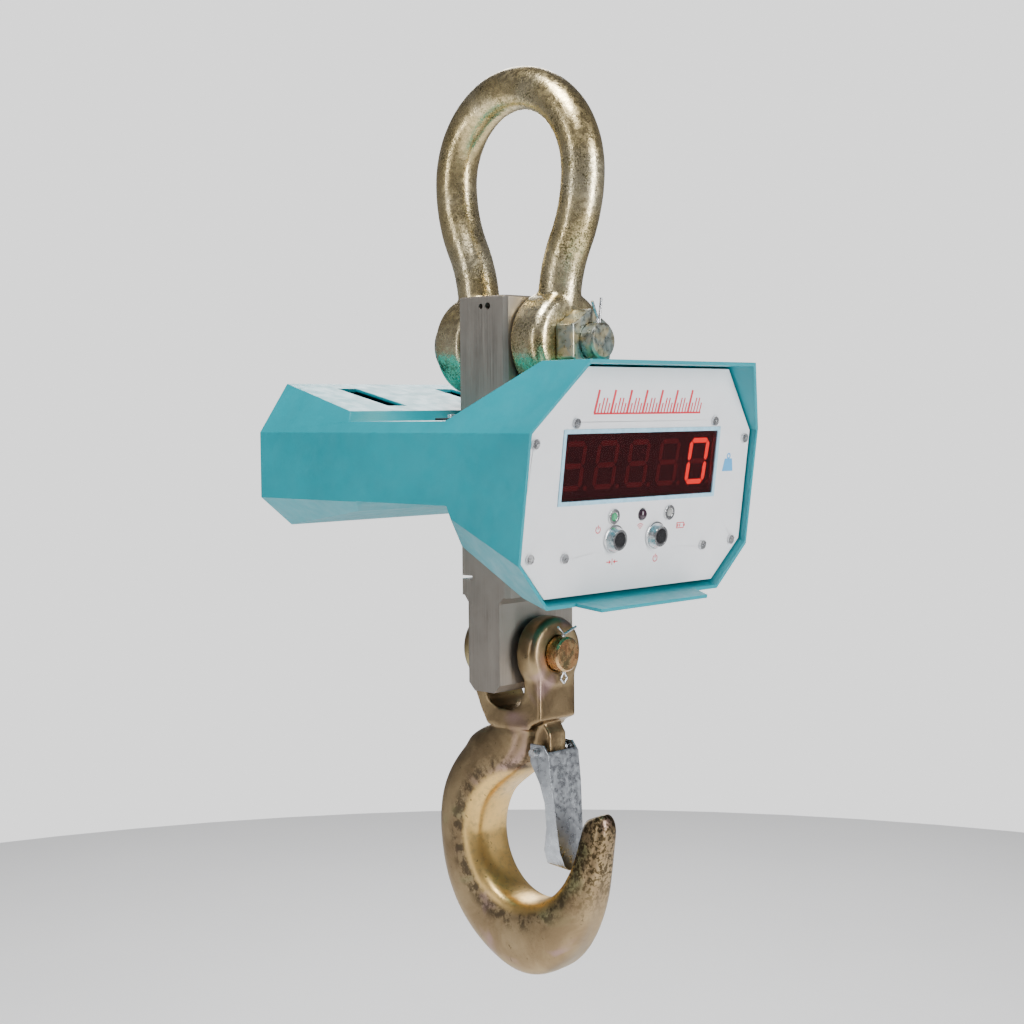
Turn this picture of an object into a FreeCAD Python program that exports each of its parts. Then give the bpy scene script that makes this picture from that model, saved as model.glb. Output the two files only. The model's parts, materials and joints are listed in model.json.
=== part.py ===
import FreeCAD, Part
import math
import os

import Sketcher
from FreeCAD import Placement, Rotation, Vector

# Crane scale.  Millimetres, +Z up, the display looks along -Y.
# The origin is the inside of the shackle's crown, where the crane hook bears.

DIMENSIONS = {
    # shackle
    "rod_dia": 32.0, "bow_radius": 65.0, "crown_centre": -49.0, "bolt_level": -173.0,
    "leg_start": -149.0, "jaw_half": 26.0, "ear_depth": 30.0, "ear_radius": 38.0,
    "bolt_radius": 17.5, "running_gap": 0.05, "thread_radius": 13.0, "bolt_tip": 84.3,
    "head_radius": 23.0, "head_depth": 13.0, "nut_flats": 41.0, "nut_depth": 16.5,
    "split_pin_radius": 2.2,
    # load cell
    "cell_width": 80.0, "cell_depth": 50.0, "cell_top": -138.5, "cell_shoulder": -359.0,
    "lug_depth": 32.0, "cell_bottom": -430.0, "cell_bevel": 3.0, "slit_level": -345.8,
    "slit_depth": 13.4, "slit_gap": 2.8, "gauge_radius": 18.0, "gauge_level": -262.0,
    # hook
    "hook_level": -402.0, "hook_pin_radius": 13.0, "hook_pin_half": 48.0,
    "hook_ear_radius": 27.5, "hook_ear_inner": 20.0, "hook_ear_outer": 38.0,
    "throat_y": -11.0, "throat_z": -545.0, "hook_half": 23.0, "saddle_level": -445.0,
    "latch_y": -30.0, "latch_z": -475.0, "latch_pin_radius": 3.0, "latch_half": 16.5,
    # housing
    "half_width": 125.0, "sheet_gap": 2.5, "roof_level": -189.0, "visor_y": -152.0,
    "waist_roof": -229.0, "waist_floor": -286.5, "rear_y": 154.0,
    # front panel, in its own tilted frame
    "panel_y": -118.5, "panel_z": -277.0, "panel_tilt": 7.4, "panel_plate": 2.0,
    "window_width": 165.0, "window_height": 46.0, "window_rise": 16.3, "frame_edge": 3.0,
    "digit_pitch": 34.0, "digit_width": 33.6, "digit_height": 44.0, "digit_sink": 6.0,
    "digit_body": 9.0, "button_radius": 5.6, "button_travel": 2.0, "button_rise": -35.0,
    "lamp_rise": -19.3, "lamp_radius": 4.2, "bezel_radius": 5.6,
    # inside
    "board_plate": 1.6, "battery_width": 104.0, "battery_depth": 48.0, "battery_height": 60.0,
    "cover_width": 150.0, "cover_height": 56.0, "cover_plate": 2.0,
}

doc = FreeCAD.newDocument("CraneScale")
sheet = doc.addObject("Spreadsheet::Sheet", "D")
for row, (alias, number) in enumerate(DIMENSIONS.items(), start=1):
    sheet.set("A%d" % row, alias)
    sheet.set("B%d" % row, repr(number))
    sheet.setAlias("B%d" % row, alias)
doc.recompute()

subparts = {}          # node name -> document object that holds its shape
TILT = Rotation(Vector(1, 0, 0), 90 + DIMENSIONS["panel_tilt"])
LEVEL = Rotation()
ALONG_Y = Rotation(Vector(1, 0, 0), -90)
ALONG_X = Rotation(Vector(0, 1, 0), 90)


def value(expression):
    """Number that a sheet expression stands for; a plain number passes through."""
    if isinstance(expression, (int, float)):
        return float(expression)
    return float(sheet.evalExpression(expression.replace("D.", "")))


def bind(item, prop, expression):
    """Set a property from a sheet expression, or from a plain number."""
    if isinstance(expression, str):
        item.setExpression(prop, expression)
    else:
        item.setExpression(prop, repr(float(expression)))


def place(item, position, rotation=LEVEL):
    item.Placement = Placement(Vector(0, 0, 0), rotation)
    for axis, expression in zip("xyz", position):
        bind(item, "Placement.Base." + axis, expression)
    return item


def keep(name, item):
    item.Label = name
    subparts[name] = item
    return item


def box(name, size, position, rotation=LEVEL):
    """Part::Box whose position is its low corner."""
    item = doc.addObject("Part::Box", name)
    for prop, expression in zip(("Length", "Width", "Height"), size):
        bind(item, prop, expression)
    return place(item, position, rotation)


def cylinder(name, radius, height, position, rotation=LEVEL):
    item = doc.addObject("Part::Cylinder", name)
    bind(item, "Radius", radius)
    bind(item, "Height", height)
    return place(item, position, rotation)


def fuse(name, items):
    item = doc.addObject("Part::MultiFuse", name)
    item.Shapes = items
    item.Refine = True
    return item


def cut(name, base, tools):
    item = doc.addObject("Part::Cut", name)
    item.Base = base
    item.Tool = tools[0] if len(tools) == 1 else fuse(name + "_tools", tools)
    item.Refine = True
    return item


def group(name, items):
    """Separate solids of one kind that share a node."""
    item = doc.addObject("Part::Compound", name)
    item.Links = items
    return item


def feature(name, shape):
    item = doc.addObject("Part::Feature", name)
    item.Shape = shape
    return item


def sketch_on(body, name, role):
    plane = [item for item in body.Origin.OriginFeatures if item.Role == role][0]
    sketch = body.newObject("Sketcher::SketchObject", name)
    sketch.AttachmentSupport = [(plane, "")]
    sketch.MapMode = "FlatFace"
    return sketch


def draw_outline(sketch, points):
    """Closed straight-sided outline, each corner bound to two sheet expressions."""
    corners = [Vector(value(x), value(y), 0) for x, y in points]
    count = len(corners)
    for index, corner in enumerate(corners):
        sketch.addGeometry(Part.LineSegment(corner, corners[(index + 1) % count]), False)
    for index in range(count):
        sketch.addConstraint(Sketcher.Constraint("Coincident", index, 2, (index + 1) % count, 1))
    for index, (x, y) in enumerate(points):
        for kind, number, expression in (("DistanceX", corners[index].x, x),
                                         ("DistanceY", corners[index].y, y)):
            ident = sketch.addConstraint(Sketcher.Constraint(kind, -1, 1, index, 1, number))
            if isinstance(expression, str):
                sketch.setExpression("Constraints[%d]" % ident, expression)


def draw_circles(sketch, circles):
    """Circles given as (x, y, radius) sheet expressions."""
    for x, y, radius in circles:
        centre = Vector(value(x), value(y), 0)
        ident = sketch.addGeometry(Part.Circle(centre, Vector(0, 0, 1), value(radius)), False)
        facts = (("DistanceX", centre.x, x), ("DistanceY", centre.y, y))
        for kind, number, expression in facts:
            fact = sketch.addConstraint(Sketcher.Constraint(kind, -1, 1, ident, 3, number))
            if isinstance(expression, str):
                sketch.setExpression("Constraints[%d]" % fact, expression)
        fact = sketch.addConstraint(Sketcher.Constraint("Radius", ident, value(radius)))
        if isinstance(radius, str):
            sketch.setExpression("Constraints[%d]" % fact, radius)


def pad_body(name, role, points, depth, midplane=False):
    """PartDesign body with one padded outline."""
    body = doc.addObject("PartDesign::Body", name)
    sketch = sketch_on(body, name + "_outline", role)
    draw_outline(sketch, points)
    pad = body.newObject("PartDesign::Pad", name + "_pad")
    pad.Profile = sketch
    pad.Midplane = midplane
    bind(pad, "Length", depth)
    doc.recompute()
    return body


def pocket(body, name, role, circles=(), points=None):
    """Cut circles or an outline right through a body, and check that material went."""
    before = body.Shape.Volume
    sketch = sketch_on(body, name, role)
    if points:
        draw_outline(sketch, points)
    draw_circles(sketch, circles)
    item = body.newObject("PartDesign::Pocket", name + "_cut")
    item.Profile = sketch
    item.Type = "ThroughAll"
    item.Midplane = True
    doc.recompute()
    if not body.Shape.Volume < before - 1e-6:
        raise ValueError(name + " cut nothing")


def bevel(body, name, size, wanted):
    """Chamfer the edges of a body that the test accepts."""
    solid = body.Tip
    edges = ["Edge%d" % (number + 1) for number, edge in enumerate(solid.Shape.Edges) if wanted(edge)]
    item = body.newObject("PartDesign::Chamfer", name)
    item.Base = (solid, edges)
    bind(item, "Size", size)
    doc.recompute()


# ---------------------------------------------------------------- shackle

def mirrored_y(shape):
    return shape.mirror(Vector(0, 0, 0), Vector(0, 1, 0))


def bow_path():
    """Crown half circle, two S-bends and two short straight legs, all tangent."""
    radius = value("D.bow_radius")
    centre = value("D.crown_centre")
    start = value("D.leg_start")
    leg = value("D.jaw_half + D.ear_depth / 2")
    shift = radius - leg
    rise = centre - start
    bend = (rise ** 2 + shift ** 2) / (4 * shift)
    middle = Vector(0, leg + shift / 2, start + rise / 2)
    half = math.asin(rise / 2 / bend) / 2
    low = Vector(0, leg + bend * (1 - math.cos(half)), start + bend * math.sin(half))
    high = Vector(0, radius - bend * (1 - math.cos(half)), centre - bend * math.sin(half))
    foot = Vector(0, leg, value("D.bolt_level"))
    lines = [Part.LineSegment(foot, Vector(0, leg, start)).toShape(),
             Part.Arc(Vector(0, leg, start), low, middle).toShape(),
             Part.Arc(middle, high, Vector(0, radius, centre)).toShape()]
    crown = Part.Arc(Vector(0, radius, centre), Vector(0, 0, centre + radius),
                     Vector(0, -radius, centre)).toShape()
    other = [mirrored_y(edge) for edge in reversed(lines)]
    return Part.Wire(Part.__sortEdges__(lines + [crown] + other)), foot


def make_shackle_bow():
    path, foot = bow_path()
    ring = Part.Circle(foot, Vector(0, 0, 1), value("D.rod_dia / 2")).toShape()
    rod = path.makePipeShell([Part.Wire(ring)], True, False)
    inner = value("D.jaw_half")
    axis = Vector(0, 1, 0)
    level = Vector(0, inner, value("D.bolt_level"))
    ear = Part.makeCylinder(value("D.ear_radius"), value("D.ear_depth"), level, axis)
    rims = [edge for edge in ear.Edges if edge.Curve.TypeId == "Part::GeomCircle"]
    ear = ear.makeFillet(9.0, [edge for edge in rims if edge.Curve.Center.y > inner + 1])
    ear = ear.makeFillet(3.0, [edge for edge in ear.Edges if edge.Curve.TypeId == "Part::GeomCircle"
                               and abs(edge.Curve.Center.y - inner) < 0.01])
    whole = rod.fuse([ear, mirrored_y(ear)])
    jaw_height = 100.0
    low = Vector(-60, -inner, value("D.bolt_level") - 44)
    jaw = Part.makeBox(120, 2 * inner, jaw_height, low)
    reach = value("D.bolt_tip")
    bore = Part.makeCylinder(value("D.bolt_radius + D.running_gap"), 2 * reach,
                             Vector(0, -reach, value("D.bolt_level")), axis)
    spot = Part.makeCylinder(25.0, 12, Vector(0, inner + value("D.ear_depth"), value("D.bolt_level")), axis)
    return whole.cut([jaw, bore, spot, mirrored_y(spot)]).removeSplitter()


keep("shackle_bow", feature("shackle_bow_shape", make_shackle_bow()))

ear_face = "D.jaw_half + D.ear_depth"
shank = cylinder("bolt_shank", "D.bolt_radius", "2 * (D.jaw_half + D.ear_depth)",
                 (0, "-(D.jaw_half + D.ear_depth)", "D.bolt_level"), ALONG_Y)
thread = cylinder("bolt_thread", "D.thread_radius", "D.bolt_tip - 20",
                  (0, "-D.bolt_tip", "D.bolt_level"), ALONG_Y)
head = cylinder("bolt_head", "D.head_radius", "D.head_depth",
                (0, ear_face, "D.bolt_level"), ALONG_Y)
split_hole_y = "-(D.jaw_half + D.ear_depth + D.nut_depth + 6.5)"
split_hole = cylinder("bolt_split_hole", "D.split_pin_radius", 60,
                      (0, split_hole_y, "D.bolt_level - 30"))
bolt = cut("shackle_bolt_cut", fuse("bolt_body", [shank, thread, head]), [split_hole])
bolt_soft = doc.addObject("Part::Chamfer", "shackle_bolt_edges")
bolt_soft.Base = bolt
doc.recompute()
bolt_soft.Edges = [(number + 1, 1.5, 1.5) for number, edge in enumerate(bolt.Shape.Edges)
                   if edge.Curve.TypeId == "Part::GeomCircle"
                   and (edge.BoundBox.YMin > 68 or edge.BoundBox.YMax < -84)]
keep("shackle_bolt", bolt_soft)


def hexagon(flats):
    corner = value(flats) / 2 / math.cos(math.radians(30))
    return [(corner * math.cos(math.radians(60 * n)), corner * math.sin(math.radians(60 * n)))
            for n in range(6)]


nut = pad_body("shackle_nut_body", "XZ_Plane", [(y, x) for x, y in hexagon("D.nut_flats")],
               "D.nut_depth")
pocket(nut, "nut_bore", "XZ_Plane", [(0, 0, "D.thread_radius")])
place(nut, (0, "-(D.jaw_half + D.ear_depth + 0.2)", "D.bolt_level"))
keep("shackle_nut", nut)


def bent_wire(points, radius, bend):
    """Round wire along straight runs joined by tangent arcs of one radius."""
    corners = [Vector(*point) for point in points]
    edges = []
    start = corners[0]
    for before, corner, after in zip(corners, corners[1:], corners[2:]):
        back = (before - corner).normalize()
        ahead = (after - corner).normalize()
        half = back.getAngle(ahead) / 2
        reach = bend / math.tan(half)
        first = corner + back * reach
        last = corner + ahead * reach
        centre = corner + (back + ahead).normalize() * (bend / math.sin(half))
        middle = centre + (corner - centre).normalize() * bend
        edges.append(Part.LineSegment(start, first).toShape())
        edges.append(Part.Arc(first, middle, last).toShape())
        start = last
    edges.append(Part.LineSegment(start, corners[-1]).toShape())
    ring = Part.Circle(corners[0], corners[1] - corners[0], radius).toShape()
    return Part.Wire(edges).makePipeShell([Part.Wire(ring)], True, False)


def split_pin(radius, hole_radius, eye, legs):
    """Split pin in its own frame: straight through along +Z, eye below, two bent legs above.

    radius is the half-thickness of one leg; legs are the two bent ends' directions.
    """
    side = radius + 0.02
    low = -hole_radius - 0.2
    route = [legs[0], (-side, 0, hole_radius), (-side, 0, low), (-eye, 0, low - 1.1 * eye),
             (0, 0, low - 2.3 * eye), (eye, 0, low - 1.1 * eye), (side, 0, low), (side, 0, hole_radius),
             legs[1]]
    return bent_wire(route, radius, radius * 1.4)


shackle_pin = split_pin(1.05, 16.0, 4.0, [(-9, -2, 28), (2, -1, 31)])
split_item = feature("shackle_split_shape", shackle_pin)
place(split_item, (0, split_hole_y, "D.bolt_level"))
keep("shackle_split_pin", split_item)

# ---------------------------------------------------------------- load cell

cell_outline = [("-D.lug_depth / 2", "D.cell_bottom + 6"), ("-D.lug_depth / 2 + 6", "D.cell_bottom"),
                ("D.lug_depth / 2 - 6", "D.cell_bottom"), ("D.lug_depth / 2", "D.cell_bottom + 6"),
                ("D.lug_depth / 2", "D.cell_shoulder - 5"),
                ("D.lug_depth / 2 + 4", "D.cell_shoulder"),
                ("D.cell_depth / 2", "D.cell_shoulder"), ("D.cell_depth / 2", "D.cell_top"),
                ("-D.cell_depth / 2", "D.cell_top"), ("-D.cell_depth / 2", "D.cell_shoulder"),
                ("-D.lug_depth / 2 - 4", "D.cell_shoulder"),
                ("-D.lug_depth / 2", "D.cell_shoulder - 5")]
cell = pad_body("load_cell_body", "YZ_Plane", cell_outline, "D.cell_width", midplane=True)
bevel(cell, "cell_upright_bevel", "D.cell_bevel",
      lambda edge: edge.BoundBox.ZLength > 200 and edge.BoundBox.YLength < 0.01)
bevel(cell, "cell_top_bevel", 1.2,
      lambda edge: edge.BoundBox.ZMin > DIMENSIONS["cell_top"] - 0.01)
pocket(cell, "cell_bores", "XZ_Plane",
       [(0, "D.bolt_level", "D.bolt_radius + D.running_gap"),
        (0, "D.hook_level", "D.hook_pin_radius + D.running_gap")])
pocket(cell, "cell_slit", "YZ_Plane", points=[
    ("D.cell_depth / 2 - D.slit_depth", "D.slit_level - D.slit_gap / 2"),
    ("D.cell_depth / 2 + 5", "D.slit_level - D.slit_gap / 2"),
    ("D.cell_depth / 2 + 5", "D.slit_level + D.slit_gap / 2"),
    ("D.cell_depth / 2 - D.slit_depth", "D.slit_level + D.slit_gap / 2")])
gauge_pockets = [cylinder("gauge_pocket_%d" % n, "D.gauge_radius", 12,
                          (side, 0, "D.gauge_level"), ALONG_X)
                 for n, side in enumerate(("-D.cell_width / 2 - 1", "D.cell_width / 2 - 11"))]
marks = [cylinder("cell_dimple_%d" % n, radius, 7, ("-D.cell_width / 2 - 1", y, -146.0), ALONG_X)
         for n, (y, radius) in enumerate(((0.0, 2.0), (-7.0, 2.6)))]
tapped = [cylinder("cell_tapped_%d_%d" % (side, x), 3.0, 16,
                   (x, "%d * D.cell_depth / 2 - 8" % side, -247.0), ALONG_Y)
          for side in (-1, 1) for x in (-26, 26)]
gland_bore = cylinder("cell_gland_bore", 4.0, 20, (0, "-D.cell_depth / 2 - 1", -262.0), ALONG_Y)
keep("load_cell", cut("load_cell_cut", cell, gauge_pockets + marks + tapped + [gland_bore]))

keep("gauge_covers", group("gauge_covers_pair", [
    cylinder("gauge_cover_%d" % n, "D.gauge_radius - 0.2", 2, (x, 0, "D.gauge_level"), ALONG_X)
    for n, x in enumerate(("-D.cell_width / 2 + 0.5", "D.cell_width / 2 - 2.5"))]))

# ---------------------------------------------------------------- housing

SPAN = 1200.0
ROOF_SCREWS = [(x, y) for x in (-34, 34) for y in (-36, 36)]
COVER_Z = -256.0
COVER_SCREWS = [(x, z) for x in (-70, 70) for z in (-22, 22)]


def half_space(point, normal):
    block = Part.makeBox(SPAN, SPAN, SPAN, Vector(-SPAN / 2, -SPAN / 2, 0))
    block.Placement = Placement(point, Rotation(Vector(0, 0, 1), normal))
    return block


def convex(planes, inset):
    """Solid kept behind every plane, each plane moved in by the inset."""
    solid = Part.makeBox(SPAN, SPAN, SPAN, Vector(-SPAN / 2, -SPAN / 2, -SPAN / 2))
    for point, normal, moved in planes:
        normal = Vector(normal).normalize()
        shift = normal * (inset if moved else 0)
        solid = solid.cut(half_space(point - shift, normal))
    return solid


def both_sides(planes):
    flipped = [(Vector(-p.x, p.y, p.z), Vector(-n.x, n.y, n.z), moved) for p, n, moved in planes]
    return planes + flipped


def through(first, second, third, outward):
    """Plane through three points, its normal turned to the outward side."""
    a, b, c = Vector(*first), Vector(*second), Vector(*third)
    normal = (b - a).cross(c - a)
    if normal.dot(Vector(*outward)) < 0:
        normal = normal * -1
    return (a, normal, True)


half_width = value("D.half_width")
roof = value("D.roof_level")
waist_roof = value("D.waist_roof")
waist_floor = value("D.waist_floor")
rear = value("D.rear_y")
shoulder = Vector(half_width, 0, -237)
roof_corner = Vector(half_width - 35, 0, roof)
side_plane = (Vector(half_width, 0, 0), Vector(1, 0, 0), True)
upper_bevel = through(tuple(shoulder), tuple(roof_corner), (half_width, 50, -237), (1, 0, 1))


def front_box(inset):
    sides = both_sides([
        side_plane, upper_bevel,
        through((half_width, -117, -324), (94, -113, -356), (half_width, -54, -295), (1, 0, -1)),
        through((half_width, -50, -286.5), (half_width, -54, -295), (94, -31, -311), (1, 1, -1)),
    ])
    ends = [
        (Vector(0, 0, roof), Vector(0, 0, 1), True),
        through((0, -107, roof), (0, -43, waist_roof), (9, -43, waist_roof), (0, 1, 1)),
        through((0, -113, -356), (0, -86, -350), (9, -86, -350), (0, 0, -1)),
        through((0, -86, -350), (0, -31, -311), (9, -31, -311), (0, 1, -1)),
        (Vector(0, -31, 0), Vector(0, 1, 0), True),
        (Vector(0, -160, 0), Vector(0, -1, 0), False),
    ]
    return convex(sides + ends, inset)


def waist_box(inset):
    reach = 4 * inset
    sides = both_sides([side_plane, upper_bevel])
    ends = [(Vector(0, 0, waist_roof), Vector(0, 0, 1), True),
            (Vector(0, 0, waist_floor), Vector(0, 0, -1), True),
            (Vector(0, -55 - reach, 0), Vector(0, -1, 0), False),
            (Vector(0, 66 + reach, 0), Vector(0, 1, 0), False)]
    return convex(sides + ends, inset)


def rear_box(inset):
    sides = both_sides([
        side_plane, upper_bevel,
        through((half_width, 0, waist_floor), (96, 0, -309), (half_width, 50, waist_floor), (1, 0, -1)),
    ])
    ends = [
        through((0, 64, -221), (0, rear, -200), (9, rear, -200), (0, 0, 1)),
        through((0, 56, waist_roof), (0, 62, -221), (9, 62, -221), (0, -1, 1)),
        through((0, 52, -294), (0, rear, -309), (9, rear, -309), (0, 0, -1)),
        through((0, 44, waist_floor), (0, 52, -294), (9, 52, -294), (0, -1, -1)),
        (Vector(0, rear, 0), Vector(0, 1, 0), True),
    ]
    return convex(sides + ends, inset)


def housing_block(inset):
    return front_box(inset).fuse([waist_box(inset), rear_box(inset)]).removeSplitter()


def yz_prism(points, half_length, low_x=None):
    """Outline in the YZ plane, extruded along X."""
    start = -half_length if low_x is None else low_x
    corners = [Vector(start, y, z) for y, z in points]
    face = Part.Face(Part.makePolygon(corners + corners[:1]))
    return face.extrude(Vector(2 * half_length, 0, 0))


def rim_plane_y(z):
    """Front edge of the housing, parallel to the panel and 5 mm in front of it."""
    slope = math.tan(math.radians(value("D.panel_tilt")))
    return value("D.panel_y") - 5 - (z - value("D.panel_z")) * slope


def slotted(half_x, y_low, y_high):
    return Part.makeBox(19, y_high - y_low, 60, Vector(half_x - 9.5, y_low, -235))


def make_housing():
    sheet_gap = value("D.sheet_gap")
    shell = housing_block(0).cut(housing_block(sheet_gap))
    visor = value("D.visor_y")
    front_trim = yz_prism([(-300, -420), (-300, -100), (visor, -100), (visor, roof),
                           (rim_plane_y(-237), -237), (rim_plane_y(-356), -356),
                           (rim_plane_y(-420), -420)], 150)
    front_way = convex(both_sides([side_plane, upper_bevel]) + [
        (Vector(0, 0, roof), Vector(0, 0, 1), True), (Vector(0, -150, 0), Vector(0, 1, 0), False),
        (Vector(0, 0, -200), Vector(0, 0, -1), False)], sheet_gap)
    shell = shell.cut([front_trim, front_way])
    cell_half = value("D.cell_width / 2") + 4
    cell_side = value("D.cell_depth / 2") + 4
    cell_way = Part.makeBox(2 * cell_half, 2 * cell_side, 100, Vector(-cell_half, -cell_side, -310))
    cover_half = value("D.cover_width / 2") - 9
    cover_mid = COVER_Z
    cover_way = Part.makeBox(2 * cover_half, 20, value("D.cover_height") - 16,
                             Vector(-cover_half, rear - 10, cover_mid - value("D.cover_height") / 2 + 8))
    slots = [slotted(side, 78, 137) for side in (-52, 52)]
    screw_ways = [Part.makeCylinder(2.6, 20, Vector(x, y, -240)) for x, y in ROOF_SCREWS]
    cover_ways = [Part.makeCylinder(2.15, 10, Vector(x, rear - 5, cover_mid + z), Vector(0, 1, 0))
                  for x, z in COVER_SCREWS]
    return shell.cut([cell_way, cover_way] + slots + screw_ways + cover_ways).removeSplitter()


keep("housing_shell", feature("housing_shell_shape", make_housing()))

keep("front_tab", pad_body("front_tab_body", "XY_Plane", [(-65, 0), (65, 0), (58.5, -18), (-58.5, -18)], 2.5))
place(subparts["front_tab"], (0, -113.6, -356.0), Rotation(Vector(1, 0, 0), 10))


def ring_seal(name, z, depth, reach, holes=()):
    outer = box(name + "_outer", ("D.cell_width + 14", "D.cell_depth + 2 * %g" % reach, depth),
                ("-D.cell_width / 2 - 7", "-D.cell_depth / 2 - %g" % reach, z))
    inner = box(name + "_inner", ("D.cell_width + 0.4", "D.cell_depth + 0.4", depth + 2),
                ("-D.cell_width / 2 - 0.2", "-D.cell_depth / 2 - 0.2", z - 1))
    groove = cut(name + "_lip", box(name + "_far", (200, 200, "D.sheet_gap"),
                                    (-100, -100, z + (depth - 2.5) / 2)),
                 [box(name + "_near", ("D.cell_width + 8", "D.cell_depth + 8", 10),
                      ("-D.cell_width / 2 - 4", "-D.cell_depth / 2 - 4", z - 1))])
    ways = [cylinder("%s_way_%d" % (name, n), 2.6, depth + 2, (x, y, z - 1))
            for n, (x, y) in enumerate(holes)]
    return keep(name, cut(name + "_cut", outer, [inner, groove] + ways))


ring_seal("top_seal", -233.25, 6.0, 17.9, ROOF_SCREWS)
ring_seal("bottom_seal", -288.25, 6.0, 5.9)


def angle_bracket(side):
    """Angle that bolts to the bar's face and carries the waist roof."""
    y = value("D.cell_depth / 2") * side
    out = side * 22
    upright = [(y, -264), (y, -233.3), (y + out, -233.3), (y + out, -236.3),
               (y + side * 3, -236.3), (y + side * 3, -264)]
    plate = yz_prism(upright, 34)
    for x in (-26, 26):
        plate = plate.cut(Part.makeCylinder(3.2, 12, Vector(x, y - 6, -247), Vector(0, 1, 0)))
    for x, y_screw in ROOF_SCREWS:
        plate = plate.cut(Part.makeCylinder(2.6, 20, Vector(x, y_screw, -245)))
    relief = Part.makeCylinder(9, 12, Vector(0, y - 6, -262), Vector(0, 1, 0))
    return plate.cut(relief)


keep("housing_brackets", feature("housing_brackets_shape",
                                 Part.makeCompound([angle_bracket(-1), angle_bracket(1)])))


def headed(name, radius, length, head_radius, head_depth, position, rotation, socket=0.0):
    """Round-headed fastener: shank from the position along local +Z, head below it."""
    shank_part = cylinder(name + "_shank", radius, length, (0, 0, 0))
    head_part = cylinder(name + "_head", head_radius, head_depth, (0, 0, -value(head_depth)))
    whole = fuse(name + "_whole", [shank_part, head_part])
    if socket:
        whole = cut(name + "_socketed", whole,
                    [cylinder(name + "_socket", socket, value(head_depth) * 0.6,
                              (0, 0, -value(head_depth) - 0.01))])
    return place(whole, position, rotation)


def inward(side):
    return Rotation(Vector(1, 0, 0), 90 * side)


keep("bracket_bolts", group("bracket_bolts_set", [
    headed("bracket_bolt_%d_%d" % (side, x), 2.95, 10, 5, 4,
           (x, side * 28, -247.0), inward(side), 2.5)
    for side in (-1, 1) for x in (-26, 26)]))
keep("roof_screws", group("roof_screws_set", [
    headed("roof_screw_%d" % n, 2.5, 12, 4.6, 2.6, (x, y, -227.2),
           Rotation(Vector(1, 0, 0), 180), 1.6)
    for n, (x, y) in enumerate(ROOF_SCREWS)]))

# ---------------------------------------------------------------- front panel group
# Everything here is built flat and tilted into place: local Z points out of the panel.

PANEL_ORIGIN = (0, "D.panel_y", "D.panel_z")
tilt_angle = math.radians(value("D.panel_tilt"))
OUTWARD = Vector(0, -math.cos(tilt_angle), -math.sin(tilt_angle))


def on_panel(item):
    return place(item, PANEL_ORIGIN, TILT)


def octagon(grow):
    return [(-121 - grow, 39 + grow * 0.4), (-121 - grow, -43.4 - grow * 0.4),
            (-91.7 - grow * 0.4, -72.8 - grow), (91.7 + grow * 0.4, -72.8 - grow),
            (121 + grow, -43.4 - grow * 0.4), (121 + grow, 39 + grow * 0.4),
            (87.4 + grow * 0.4, 84.5 + grow), (-87.4 - grow * 0.4, 84.5 + grow)]


OUTER_SCREWS = [(-114.2, 33.3), (114.2, 33.3), (-110.2, -43.7), (110.2, -43.7)]
INNER_SCREWS = [(-75.8, 46.5), (75.8, 46.5), (-75.8, -45.6), (75.8, -45.6)]
LAMPS = {"green": -28.0, "clear": 33.0}
RECEIVER_X = 3.5
BUTTONS = {"zero": -26.0, "power": 19.0}
WINDOW_X = -1.5

panel = pad_body("front_panel_body", "XY_Plane", octagon(0), "D.panel_plate")
half_w = "(D.window_width / 2 + 1.4)"
half_v = "(D.window_height / 2 + 1.4)"
pocket(panel, "panel_window", "XY_Plane", points=[
    ("%g - %s" % (WINDOW_X, half_w), "D.window_rise - " + half_v),
    ("%g + %s" % (WINDOW_X, half_w), "D.window_rise - " + half_v),
    ("%g + %s" % (WINDOW_X, half_w), "D.window_rise + " + half_v),
    ("%g - %s" % (WINDOW_X, half_w), "D.window_rise + " + half_v)])
pocket(panel, "panel_holes", "XY_Plane",
       [(x, y, 1.8) for x, y in OUTER_SCREWS + INNER_SCREWS]
       + [(x, "D.lamp_rise", "D.lamp_radius + 0.3") for x in (-28.0, 3.5, 33.0)]
       + [(x, "D.button_rise", 8.2) for x in BUTTONS.values()])
keep("front_panel", panel)
sunk_origin = ("0", "D.panel_y + D.panel_plate * %.6f" % math.cos(tilt_angle),
               "D.panel_z + D.panel_plate * %.6f" % math.sin(tilt_angle))
place(panel, (0, sunk_origin[1], sunk_origin[2]), TILT)


def ring_plate(name, outer_grow, inner_grow, depth, low):
    outer = pad_body(name + "_outer", "XY_Plane", octagon(outer_grow), depth)
    inner = pad_body(name + "_inner", "XY_Plane", octagon(inner_grow), depth + 2)
    place(outer, (0, 0, low))
    place(inner, (0, 0, low - 1))
    return outer, inner


gasket_outer, gasket_inner = ring_plate("panel_gasket", -0.8, -14, 1.5, -3.5)
gasket_holes = [cylinder("gasket_hole_%d" % n, 1.9, 6, (x, y, -6))
                for n, (x, y) in enumerate(OUTER_SCREWS)]
keep("panel_gasket", on_panel(cut("panel_gasket_cut", gasket_outer, [gasket_inner] + gasket_holes)))

ring_outer, ring_inner = ring_plate("panel_ring", -1.5, -12, 3.0, -6.5)
ring_holes = [cylinder("ring_hole_%d" % n, 1.55, 8, (x, y, -8)) for n, (x, y) in enumerate(OUTER_SCREWS)]
keep("panel_ring", on_panel(cut("panel_ring_cut", ring_outer, [ring_inner] + ring_holes)))


def panel_screws(name, places, length):
    screws = [headed("%s_%d" % (name, n), 1.5, length, 3.4, 1.8, (x, y, 0),
                     Rotation(Vector(1, 0, 0), 180), 1.1) for n, (x, y) in enumerate(places)]
    return keep(name, on_panel(group(name + "_set", screws)))


panel_screws("panel_screws", OUTER_SCREWS, 6.0)
panel_screws("display_screws", INNER_SCREWS, 5.0)

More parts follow.
